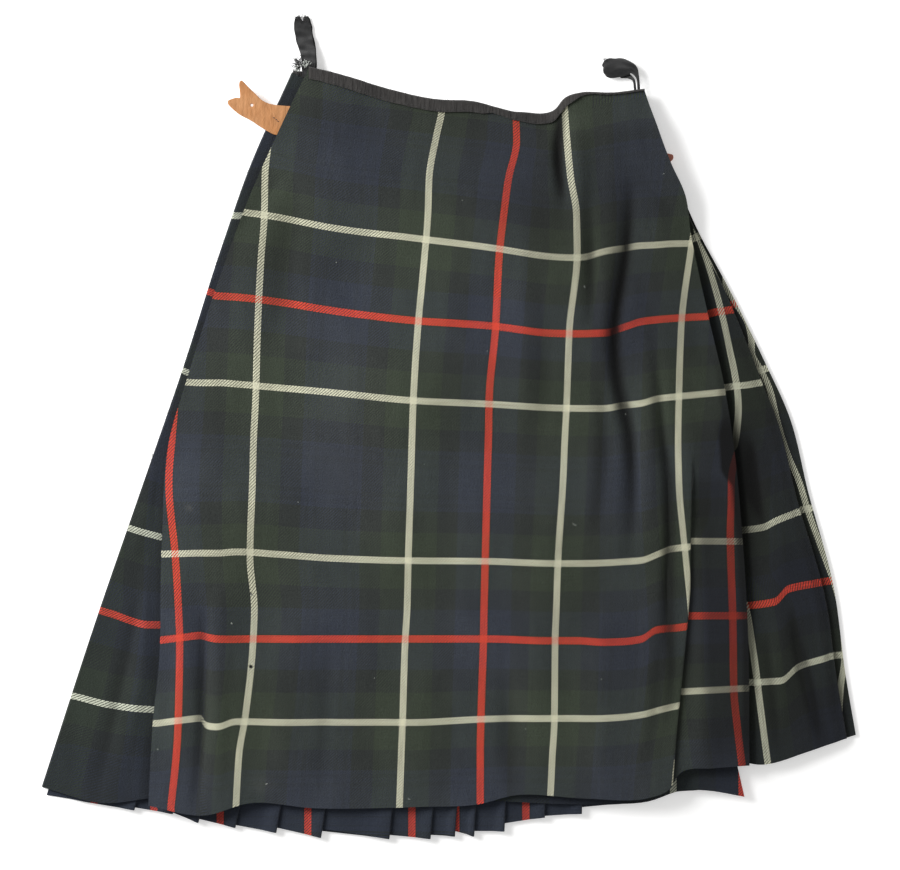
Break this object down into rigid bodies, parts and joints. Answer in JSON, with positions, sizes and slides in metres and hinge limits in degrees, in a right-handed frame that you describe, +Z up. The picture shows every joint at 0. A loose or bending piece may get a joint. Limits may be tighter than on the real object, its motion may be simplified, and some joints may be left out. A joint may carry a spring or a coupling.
{
  "type": "scottish kilt",
  "caption": "Wool tartan kilt laid flat and face up: an outer apron over an under apron and a knife-pleated back, with a bound waist, leather strap ends and ribbon hanging loops.",
  "frame": {"origin": "on the surface the kilt lies on, under the middle of its outline", "axes": "+X across the front, towards the wearer's left; +Y towards the waist; +Z up, away from the surface, with the outer apron on top"},
  "size_m": [0.652, 0.6582, 0.0137],
  "materials": {
    "tartan": "2/2 twill wool, dark blue, green and black ground with white and red overchecks, matt with a slight nap",
    "tartan_inner": "the same twill wool, in the outer apron's shade",
    "tartan_pleats": "the same twill wool, pressed into knife pleats",
    "band": "faded black cotton binding, worn brown along its folds",
    "leather": "undyed tan strap leather, dry and lightly creased, darker cut edges",
    "red_leather": "tip of the second strap, reddish brown",
    "ribbon": "black rayon ribbon, creased, with a low sheen and frayed ends"
  },
  "bodies": {
    "root": {"outer_apron": "tartan", "under_apron": "tartan_inner", "pleated_back": "tartan_pleats", "side_pleats": "tartan_pleats", "waistband_front": "band", "waistband_back": "band", "strap_left": "leather", "strap_right": "red_leather", "loop_left": "ribbon", "loop_right": "ribbon"}
  },
  "joints": []
}
